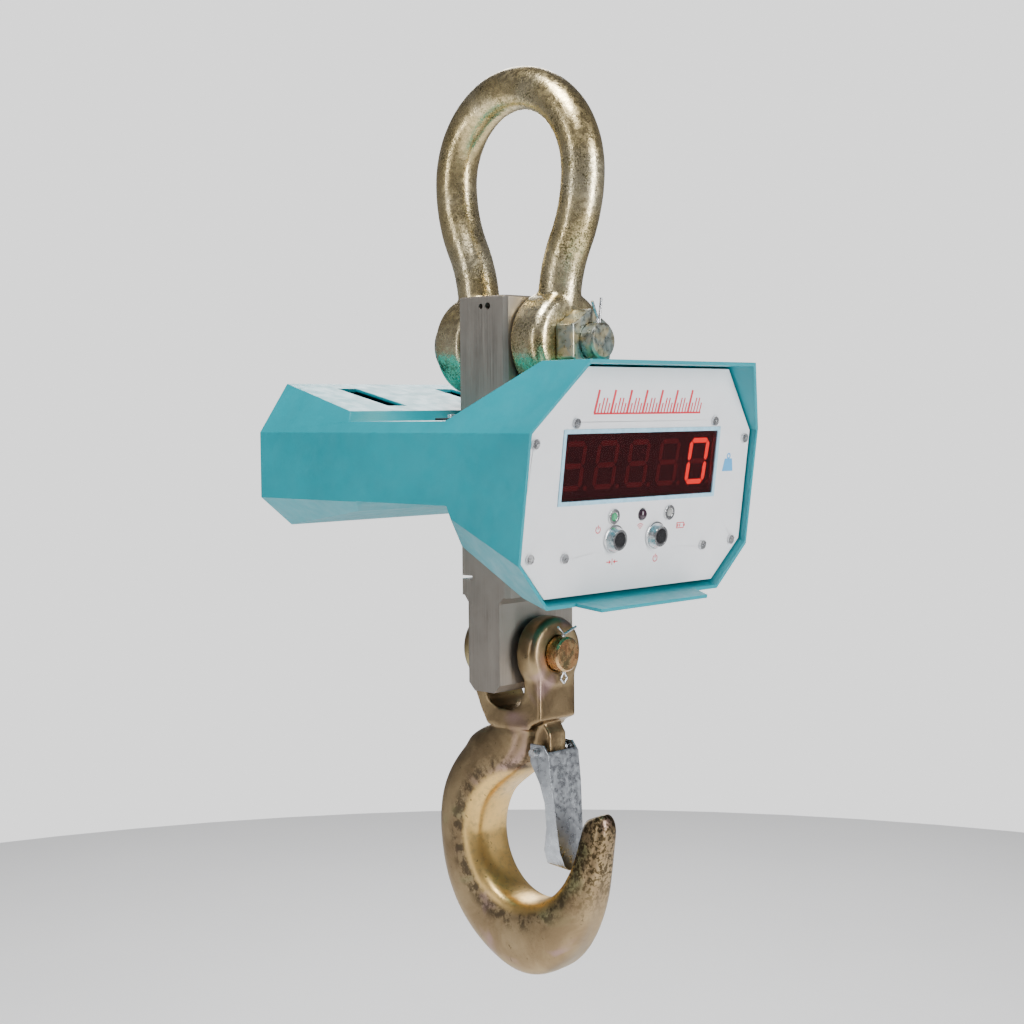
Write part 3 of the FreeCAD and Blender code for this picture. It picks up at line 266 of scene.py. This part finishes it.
# Centre of the hook's bowl and its tip, as (y, z).
THROAT = (-0.011, -0.545)
TIP = (-0.078, -0.520)
LOOKS = {
    "shackle_zinc": zinc_forging(),
    "bolt_zinc": turned_steel("bolt_zinc", (0.40, 0.44, 0.40), (0.66, 0.57, 0.36), 0.30),
    "cell_steel": brushed_steel("cell_steel", (0.35, 0.315, 0.275), (700, 700, 14)),
    "shell_teal": powder_coat("shell_teal", (0.003, 0.30, 0.36), (0.002, 0.26, 0.315)),
    "panel_white": plastic("panel_white", (0.86, 0.87, 0.89), 0.38, 0.97, 0.00002),
    "seal_rubber": plastic("seal_rubber", (0.028, 0.028, 0.030), 0.7, 0.7, 0.0001),
    "bright_steel": turned_steel("bright_steel", (0.72, 0.72, 0.72), (0.52, 0.53, 0.55), 0.26),
    "frame_blue": plastic("frame_blue", (0.42, 0.74, 0.92), 0.25),
    "filter_red": plastic("filter_red", (0.030, 0.003, 0.004), 0.12, 0.8, 0.00001, Alpha=0.62),
    "digit_red": plastic("digit_red", (0.11, 0.008, 0.008), 0.3),
    "board_green": plastic("board_green", (0.02, 0.19, 0.08), 0.35, 0.7),
    "chip_black": plastic("chip_black", (0.03, 0.03, 0.033), 0.45, 0.7, 0.00006),
    "lamp_green": plastic("lamp_green", (0.10, 0.66, 0.30), 0.12, 0.8, Transmission_Weight=0.35),
    "lamp_clear": plastic("lamp_clear", (0.80, 0.80, 0.77), 0.10, 0.92, Transmission_Weight=0.5),
    "receiver_dark": plastic("receiver_dark", (0.045, 0.02, 0.035), 0.10, 0.7, Coat_Weight=0.5),
    "chrome_trim": turned_steel("chrome_trim", (0.80, 0.80, 0.80), (0.66, 0.67, 0.68), 0.16),
    "button_cap": plastic("button_cap", (0.020, 0.020, 0.022), 0.18, 0.8, Coat_Weight=0.4),
    "brass_gland": turned_steel("brass_gland", (0.72, 0.56, 0.28), (0.60, 0.44, 0.20), 0.3),
    "cable_black": plastic("cable_black", (0.025, 0.025, 0.027), 0.5, 0.7),
    "battery_grey": plastic("battery_grey", (0.09, 0.10, 0.12), 0.5, 0.8, 0.00008),
    "tray_steel": brushed_steel("tray_steel", (0.62, 0.63, 0.64), (14, 600, 600), 0.36),
    "strap_black": woven("strap_black", (0.045, 0.045, 0.05)),
    "spacer_nylon": plastic("spacer_nylon", (0.82, 0.80, 0.72), 0.45, 0.93),
    "hook_zinc": hook_forging(THROAT, TIP),
    "pin_copper": turned_steel("pin_copper", (0.66, 0.36, 0.17), (0.44, 0.36, 0.18), 0.24),
    "latch_zinc": turned_steel("latch_zinc", (0.52, 0.55, 0.58), (0.42, 0.44, 0.47), 0.30),
    "spring_steel": turned_steel("spring_steel", (0.62, 0.62, 0.62), (0.50, 0.50, 0.52), 0.22),
}
NODE_SLOT = {row["node"]: row["material_slot"] for row in frame["record"]["subparts"]}


for node_name, node in NODES.items():
    node.data.materials.clear()
    node.data.materials.append(LOOKS[NODE_SLOT[node_name]])

# ---------------------------------------------------------------- mesh helpers
# Angles in degrees, lumps per metre.

SHARP_ANGLE = 35
FORGED_ANGLE = 60
WELD_GAP = 2e-6
RELAX_PASSES = 10
BROAD_LUMPS, FINE_LUMPS = 38.0, 95.0


def shade_by_angle(mesh, degrees):
    """Smooth faces with sharp edges kept where the surface turns more than the angle."""
    work = bmesh.new()
    work.from_mesh(mesh)
    limit = math.radians(degrees)
    for face in work.faces:
        face.smooth = True
    for edge in work.edges:
        edge.smooth = len(edge.link_faces) == 2 and edge.calc_face_angle(0.0) < limit
    work.to_mesh(mesh)
    work.free()


def finish_piece(name, mesh, body, slot, replaces=(), look=None, angle=SHARP_ANGLE):
    shade_by_angle(mesh, angle)
    item = bpy.data.objects.new(name, mesh)
    bpy.context.scene.collection.objects.link(item)
    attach(item, body)
    if replaces:
        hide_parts(*replaces)
    item.data.materials.clear()
    item.data.materials.append(look or LOOKS[slot])
    flatten = item.modifiers.new("flat_faces", "WEIGHTED_NORMAL")
    flatten.keep_sharp = True
    flatten.weight = 80
    return item


def evaluated(item, *modifiers):
    """Mesh of the item with a list of (type, settings) modifiers applied."""
    mesh = item.data.copy()
    if "custom_normal" in mesh.attributes:
        mesh.attributes.remove(mesh.attributes["custom_normal"])
    work = bpy.data.objects.new("work", mesh)
    bpy.context.scene.collection.objects.link(work)
    for kind, settings in modifiers:
        modifier = work.modifiers.new(kind, kind)
        for key, setting in settings.items():
            setattr(modifier, key, setting)
    bpy.context.view_layer.update()
    graph = bpy.context.evaluated_depsgraph_get()
    mesh = bpy.data.meshes.new_from_object(work.evaluated_get(graph))
    bpy.data.objects.remove(work)
    return mesh


def welded_copy(node_name, *modifiers):
    """Clean copy of a CAD node's mesh, corners joined, with modifiers applied."""
    join = ("WELD", {"merge_threshold": WELD_GAP})
    return evaluated(NODES[node_name], join, *modifiers)


def soft_edges(node_name, body, width):
    """CAD piece with its hard edges broken by a small round."""
    ease = ("BEVEL", {"width": width, "segments": 3, "limit_method": "ANGLE",
                      "angle_limit": math.radians(SHARP_ANGLE), "harden_normals": False,
                      "use_clamp_overlap": True, "miter_outer": "MITER_ARC"})
    mesh = welded_copy(node_name, ease)
    return finish_piece(node_name + "_form", mesh, body, NODE_SLOT[node_name], [node_name])


def forged(node_name, body, voxel, roll):
    """CAD solid remeshed and relaxed, so that its joins flow together as in a forging."""
    mesh = welded_copy(node_name, ("REMESH", {"mode": "VOXEL", "voxel_size": voxel}),
                       ("SMOOTH", {"factor": 0.5, "iterations": RELAX_PASSES}))
    low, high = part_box(node_name)
    normals = [vertex.normal.copy() for vertex in mesh.vertices]
    places = []
    for vertex, normal in zip(mesh.vertices, normals):
        spot = vertex.co
        lump = noise.noise(spot * BROAD_LUMPS) * 0.6 + noise.noise(spot * FINE_LUMPS) * 0.4
        moved = spot - normal * roll * (0.5 - 0.5 * lump)
        places.extend(min(max(c, a), b) for c, a, b in zip(moved, low, high))
    mesh.vertices.foreach_set("co", places)
    mesh.update()
    return finish_piece(node_name + "_form", mesh, body, NODE_SLOT[node_name], [node_name],
                        angle=FORGED_ANGLE)


# ---------------------------------------------------------------- forgings

forged("shackle_bow", "shackle", voxel=0.0012, roll=0.00035)
forged("hook_forging", "hook", voxel=0.0013, roll=0.0004)

BODY_OF = {n: b for b, members in frame["record"]["behaviour"]["bodies"].items() for n in members}
EDGES = {
    "shackle_bolt": 0.0006, "shackle_nut": 0.0012, "load_cell": 0.0005, "housing_shell": 0.0007,
    "front_tab": 0.0007, "front_panel": 0.0003, "display_frame": 0.00035, "rear_cover": 0.0005,
    "battery_pack": 0.003, "charger_socket": 0.0005, "zero_switch": 0.0005, "power_switch": 0.0005,
    "zero_button": 0.0012, "power_button": 0.0012, "lamp_bezels": 0.0004, "latch_plate": 0.0005,
    "hook_pin": 0.0004, "latch_pin": 0.0005, "panel_screws": 0.0005, "display_screws": 0.0005,
    "cover_screws": 0.0006, "roof_screws": 0.0007, "bracket_bolts": 0.0006, "top_seal": 0.0007,
    "bottom_seal": 0.0007, "housing_brackets": 0.0006, "battery_tray": 0.0003,
}
for node_name, width in EDGES.items():
    soft_edges(node_name, BODY_OF[node_name], width)

# ---------------------------------------------------------------- front panel graphics
# Drawn in the panel's own plane: u to the right, v up, lifted just clear of the white sheet.

PANEL_TILT = math.radians(7.4)
PANEL_LEVEL = -277.0
PANEL_AT = Vector((0, -0.1185, PANEL_LEVEL * MM))
UP = Vector((0, -math.sin(PANEL_TILT), math.cos(PANEL_TILT)))
OUT = Vector((0, -math.cos(PANEL_TILT), -math.sin(PANEL_TILT)))


def panel_point(u, v, lift):
    return PANEL_AT + Vector((u, 0, 0)) + UP * v + OUT * lift


def plates(name, outlines, lift, thick, slot, look=None):
    """Thin raised plates from flat outlines given in millimetres on the panel."""
    work = bmesh.new()
    for outline in outlines:
        bottom = [work.verts.new(panel_point(u * MM, v * MM, lift)) for u, v in outline]
        top = [work.verts.new(panel_point(u * MM, v * MM, lift + thick)) for u, v in outline]
        count = len(outline)
        work.faces.new(top)
        work.faces.new(list(reversed(bottom)))
        for k in range(count):
            work.faces.new((bottom[k], bottom[(k + 1) % count], top[(k + 1) % count], top[k]))
    bmesh.ops.recalc_face_normals(work, faces=work.faces)
    mesh = bpy.data.meshes.new(name)
    work.to_mesh(mesh)
    work.free()
    return finish_piece(name, mesh, "scale_body", slot, look=look)


def bar(u0, v0, u1, v1, width):
    """Straight stroke as a four-cornered outline."""
    along = Vector((u1 - u0, v1 - v0)).normalized() * (width / 2)
    side = Vector((-along.y, along.x))
    return [(u0 + side.x, v0 + side.y), (u0 - side.x, v0 - side.y),
            (u1 - side.x, v1 - side.y), (u1 + side.x, v1 + side.y)]


def arc(u, v, radius, width, start=0, stop=360, steps=28):
    """Curved stroke as short outlines that share their ends."""
    pieces = []
    for k in range(steps):
        a, b = (math.radians(start + (stop - start) * t / steps) for t in (k, k + 1))
        inner, outer = radius - width / 2, radius + width / 2
        pieces.append([(u + r * math.cos(t), v + r * math.sin(t))
                       for r, t in ((inner, a), (outer, a), (outer, b), (inner, b))])
    return pieces


def level_of(z):
    """Height up the panel, in millimetres, of a level z in millimetres."""
    return (z - PANEL_LEVEL) / math.cos(PANEL_TILT)


RED_INK = plastic("ink_red", (0.72, 0.025, 0.05), 0.45, 0.9)
BLUE_INK = plastic("ink_blue", (0.10, 0.42, 0.78), 0.45, 0.9)


def title_strip():
    """A slanted graduated strip where the panel's heading goes."""
    outlines = []
    base = level_of(-224.5)
    count = 34
    for k in range(count + 1):
        u = -58 + 115 * k / count
        tall = 16.0 if k % 5 == 0 else (10.5 if k % 5 in (2, 3) else 7.0)
        width = 2.1 if k % 5 == 0 else 1.2
        outlines.append(bar(u, base, u + tall * 0.22, base + tall, width))
    outlines.append(bar(-58.6, base - 0.2, 58.2, base - 0.2, 1.3))
    return outlines


def weight_mark(u, v, size):
    """Weight with a ring on top."""
    half = size * 0.5
    body = [(u - half, v - half), (u + half, v - half), (u + half * 0.68, v + half * 0.45),
            (u - half * 0.68, v + half * 0.45)]
    return [body] + arc(u, v + half * 0.75, half * 0.26, half * 0.18)


def power_mark(u, v):
    """Open ring with a stroke at its top."""
    return arc(u, v, 2.3, 0.7, 120, 420, 20) + [bar(u, v + 0.2, u, v + 3.2, 0.7)]


def battery_mark(u, v):
    """Battery outline with its terminal and two bars of charge."""
    case = [bar(u - 4, v + side * 1.9, u + 4, v + side * 1.9, 0.6) for side in (-1, 1)]
    case += [bar(u + side * 4, v - 2.2, u + side * 4, v + 2.2, 0.6) for side in (-1, 1)]
    terminal = bar(u + 4.9, v - 0.9, u + 4.9, v + 0.9, 1.0)
    charge = [bar(u + shift, v - 1.1, u + shift, v + 1.1, 1.1) for shift in (-2.6, -0.4)]
    return case + [terminal] + charge


def wave_mark(u, v):
    """Three arcs over the receiver."""
    strokes = []
    for radius in (1.4, 2.9, 4.4):
        strokes += arc(u, v - 2.0, radius, 0.6, 45, 135, 10)
    return strokes


def centre_mark(u, v):
    """Two arrows that meet at a line."""
    strokes = [bar(u, v - 2.2, u, v + 2.2, 0.6)]
    for side in (-1, 1):
        strokes += [bar(u + side * 6, v, u + side * 2.6, v, 0.7),
                    [(u + side * 1.0, v), (u + side * 3.2, v + 1.5), (u + side * 3.2, v - 1.5)]]
    return strokes


INK_LIFT = 0.00004
INK_THICK = 0.00008
plates("title_graphic", title_strip(), INK_LIFT, INK_THICK, "panel_white", RED_INK)
plates("weight_graphic", weight_mark(98, level_of(-262), 13), INK_LIFT, INK_THICK, "panel_white",
       BLUE_INK)
small = power_mark(-43, level_of(-304.6)) + wave_mark(2.2, level_of(-305.1)) \
    + battery_mark(47.8, level_of(-306.2)) + centre_mark(-25, level_of(-328)) \
    + power_mark(22.5, level_of(-328.7))
plates("small_graphics", small, INK_LIFT, INK_THICK, "panel_white", RED_INK)

# ---------------------------------------------------------------- digits

SEGMENTS = {"top": (0, 1, 0), "middle": (0, 0, 0), "bottom": (0, -1, 0),
            "upper_left": (-1, 0.5, 1), "upper_right": (1, 0.5, 1),
            "lower_left": (-1, -0.5, 1), "lower_right": (1, -0.5, 1)}
GLYPH_HALF_W, GLYPH_HALF_H, STROKE, LEAN = 9.6, 15.2, 3.6, 0.09
DIGIT_PITCH, DIGIT_RISE, DIGIT_FACE = 34.0, 16.3, -0.006
SEGMENT_LIFT, SEGMENT_THICK, DOT = 0.00005, 0.0002, 1.7


def segment(u, v, name):
    """Six-cornered bar of a seven-segment digit, leaning slightly to the right."""
    side, up, upright = SEGMENTS[name]
    cu, cv = u + side * GLYPH_HALF_W, v + up * GLYPH_HALF_H
    half = (GLYPH_HALF_H / 2 if upright else GLYPH_HALF_W) - 0.5
    s = STROKE / 2
    flat = [(-half, 0), (-half + s, -s), (half - s, -s), (half, 0), (half - s, s), (-half + s, s)]
    if upright:
        flat = [(-b, a) for a, b in flat]
    return [(cu + a + (cv + b - v) * LEAN, cv + b) for a, b in flat]


dim_outlines, lit_outlines = [], []
for number in range(5):
    centre = (number - 2) * DIGIT_PITCH
    for name in SEGMENTS:
        shown = number == 4 and name != "middle"
        (lit_outlines if shown else dim_outlines).append(segment(centre, DIGIT_RISE, name))
    dot = [(centre + 14 + DOT * math.cos(a), DIGIT_RISE - 15.5 + DOT * math.sin(a))
           for a in (2 * math.pi * k / 16 for k in range(16))]
    dim_outlines.append(dot)
# The unlit segments get a faint painted glow (emission 0.32) so that they show behind the red window
# though they are switched off.
plates("digit_segments_unlit_painted_glow", dim_outlines, DIGIT_FACE + SEGMENT_LIFT, SEGMENT_THICK,
       "digit_red", lit("segment_unlit_painted_glow", (0.55, 0.03, 0.03), 0.32))
plates("digit_segments_lit", lit_outlines, DIGIT_FACE + SEGMENT_LIFT, SEGMENT_THICK,
       "digit_red", lit("segment_lit", (1.0, 0.03, 0.02), 9.0))

# ---------------------------------------------------------------- latch springs


LATCH_PIVOT = (-0.030, -0.475)
WIRE_RADIUS, COIL_RADIUS, COIL_TURNS, COIL_STEPS = 0.0008, 0.0042, 3.5, 20
COIL_START, COIL_INSET, COIL_ADVANCE, LEG_DROP = 0.0141, 0.0012, 0.0017, 0.021


def latch_coils():
    """Two coils of round wire on the latch pin, each with a leg down the latch."""
    y, z = LATCH_PIVOT
    curve = bpy.data.curves.new("latch_coils", "CURVE")
    curve.dimensions = "3D"
    curve.bevel_depth = WIRE_RADIUS
    curve.bevel_resolution = 4
    curve.use_fill_caps = True
    for side in (-1, 1):
        start = side * COIL_START
        points = [(start - side * COIL_INSET, y - COIL_RADIUS, z - LEG_DROP)]
        steps = int(COIL_TURNS * COIL_STEPS)
        for k in range(steps + 1):
            angle = math.pi - 2 * math.pi * k / COIL_STEPS
            x = start - side * (COIL_INSET + COIL_ADVANCE * k / steps)
            points.append((x, y + COIL_RADIUS * math.cos(angle), z + COIL_RADIUS * math.sin(angle)))
        points.append((x, y + COIL_RADIUS * 0.2, z - COIL_RADIUS * 1.3))
        spline = curve.splines.new("NURBS")
        spline.points.add(len(points) - 1)
        for point, spot in zip(spline.points, points):
            point.co = (*spot, 1.0)
        spline.order_u = 3
        spline.use_endpoint_u = True
    item = bpy.data.objects.new("latch_coils_work", curve)
    bpy.context.scene.collection.objects.link(item)
    bpy.context.view_layer.update()
    graph = bpy.context.evaluated_depsgraph_get()
    mesh = bpy.data.meshes.new_from_object(item.evaluated_get(graph))
    bpy.data.objects.remove(item)
    return finish_piece("latch_coils", mesh, "latch", "spring_steel", ["latch_spring"])


latch_coils()

# ---------------------------------------------------------------- stage, camera, lights

FLOOR_LEVEL = -1.1
FLOOR_RADIUS = 2.4


def make_floor():
    work = bmesh.new()
    bmesh.ops.create_circle(work, cap_ends=True, segments=96, radius=FLOOR_RADIUS,
                            matrix=Matrix.Translation((0, 0, FLOOR_LEVEL)))
    mesh = bpy.data.meshes.new("floor")
    work.to_mesh(mesh)
    work.free()
    floor = bpy.data.objects.new("floor", mesh)
    bpy.context.scene.collection.objects.link(floor)
    s = Surface("floor_paper", rough=0.9)
    s.colour(s.blend(s.window(s.grain(3.0), 0.3, 0.7), (0.93, 0.93, 0.93), (0.91, 0.91, 0.91)))
    floor.data.materials.append(s.material)


def make_world():
    """Pale to the camera; for light and reflections darker overhead and bright at eye level."""
    world = bpy.data.worlds.new("studio")
    bpy.context.scene.world = world
    world.use_nodes = True
    nodes, links = world.node_tree.nodes, world.node_tree.links
    back = nodes["Background"]
    spot = nodes.new("ShaderNodeTexCoord")
    split = nodes.new("ShaderNodeSeparateXYZ")
    links.new(spot.outputs["Generated"], split.inputs[0])
    ramp = nodes.new("ShaderNodeValToRGB")
    stops = ramp.color_ramp.elements
    stops[0].position, stops[0].color = 0.0, (0.22, 0.22, 0.23, 1)
    stops[1].position, stops[1].color = 0.8, (0.10, 0.10, 0.11, 1)
    links.new(split.outputs["Z"], ramp.inputs["Fac"])
    seen = nodes.new("ShaderNodeLightPath")
    mix = nodes.new("ShaderNodeMix")
    mix.data_type = "RGBA"
    links.new(seen.outputs["Is Camera Ray"], mix.inputs[0])
    links.new(ramp.outputs["Color"], mix.inputs[6])
    mix.inputs[7].default_value = (1.6, 1.6, 1.6, 1)
    links.new(mix.outputs[2], back.inputs["Color"])
    back.inputs["Strength"].default_value = 1.0


def softbox(name, at, toward, size, power, tint=(1, 1, 1)):
    light = bpy.data.lights.new(name, "AREA")
    light.shape = "RECTANGLE"
    light.size, light.size_y = size
    light.energy = power
    light.color = tint
    item = bpy.data.objects.new(name, light)
    item.location = at
    item.rotation_mode = "QUATERNION"
    item.rotation_quaternion = (Vector(toward) - Vector(at)).to_track_quat("-Z", "Y")
    bpy.context.scene.collection.objects.link(item)


def make_camera():
    """Standing off the display's right-hand corner, a little above the middle, tipped down."""
    heading, dip, roll = math.radians(46), math.radians(3.47), math.radians(-0.5)
    ahead = Vector((math.sin(heading) * math.cos(dip), math.cos(heading) * math.cos(dip),
                    -math.sin(dip)))
    right = Vector((math.cos(heading), -math.sin(heading), 0))
    up = right.cross(ahead)
    right_rolled = right * math.cos(roll) + up * math.sin(roll)
    up_rolled = up * math.cos(roll) - right * math.sin(roll)
    data = bpy.data.cameras.new("camera")
    data.lens = 59.335
    data.sensor_width = 36.0
    camera = bpy.data.objects.new("camera", data)
    turn = Matrix((right_rolled, up_rolled, -ahead)).transposed().to_4x4()
    camera.matrix_world = Matrix.Translation((-0.9168, -0.8767, -0.2215)) @ turn
    bpy.context.scene.collection.objects.link(camera)
    bpy.context.scene.camera = camera


make_floor()
make_world()
make_camera()
MIDDLE = (0, 0, -0.3)
softbox("key_high", (-0.7, -0.25, 1.5), MIDDLE, (0.8, 0.8), 58)
softbox("front_right", (0.35, -1.8, 0.0), MIDDLE, (0.5, 1.6), 36)
softbox("left_strip", (-1.7, 0.45, -0.1), MIDDLE, (0.12, 1.6), 7)
softbox("rear_right", (1.2, 1.2, 0.5), MIDDLE, (0.6, 1.2), 14)
softbox("floor_wash", (0, 0, FLOOR_LEVEL + 0.35), (0, 0, FLOOR_LEVEL), (5.0, 5.0), 38)
